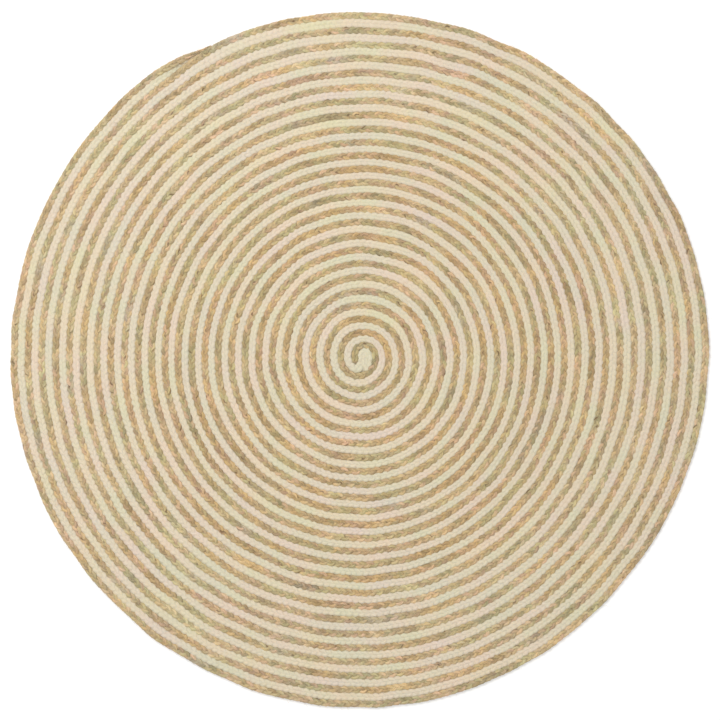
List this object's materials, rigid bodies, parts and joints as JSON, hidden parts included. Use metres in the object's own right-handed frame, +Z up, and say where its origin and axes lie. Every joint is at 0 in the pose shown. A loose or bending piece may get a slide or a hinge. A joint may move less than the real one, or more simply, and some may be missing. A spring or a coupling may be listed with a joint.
{
  "type": "round braided area rug",
  "caption": "Flat round floor rug wound outwards from a folded core, natural and white flat braids side by side and sewn edge to edge.",
  "frame": {"origin": "middle of the underside, on the floor", "axes": "+Z up out of the floor, +X and +Y lie in the rug's plane; the outer end of the natural braid lies about 112 degrees round from +X towards +Y"},
  "size_m": [1.4994, 1.493, 0.009],
  "materials": {
    "natural_jute": "dry matt plant fibre, uneven golden to grey-brown",
    "white_jute": "bleached plant fibre, matt cream",
    "seam_thread": "twisted sewing thread, slight sheen",
    "binding_thread": "twisted sewing thread wound round a braid's end"
  },
  "bodies": {
    "root": {"natural_braid": "natural_jute", "white_braid": "white_jute", "pair_seam_thread": "seam_thread", "coil_seam_thread": "seam_thread", "natural_start_binding": "binding_thread", "natural_tail_binding": "binding_thread", "white_start_binding": "binding_thread", "white_tip_binding": "binding_thread"}
  },
  "joints": []
}
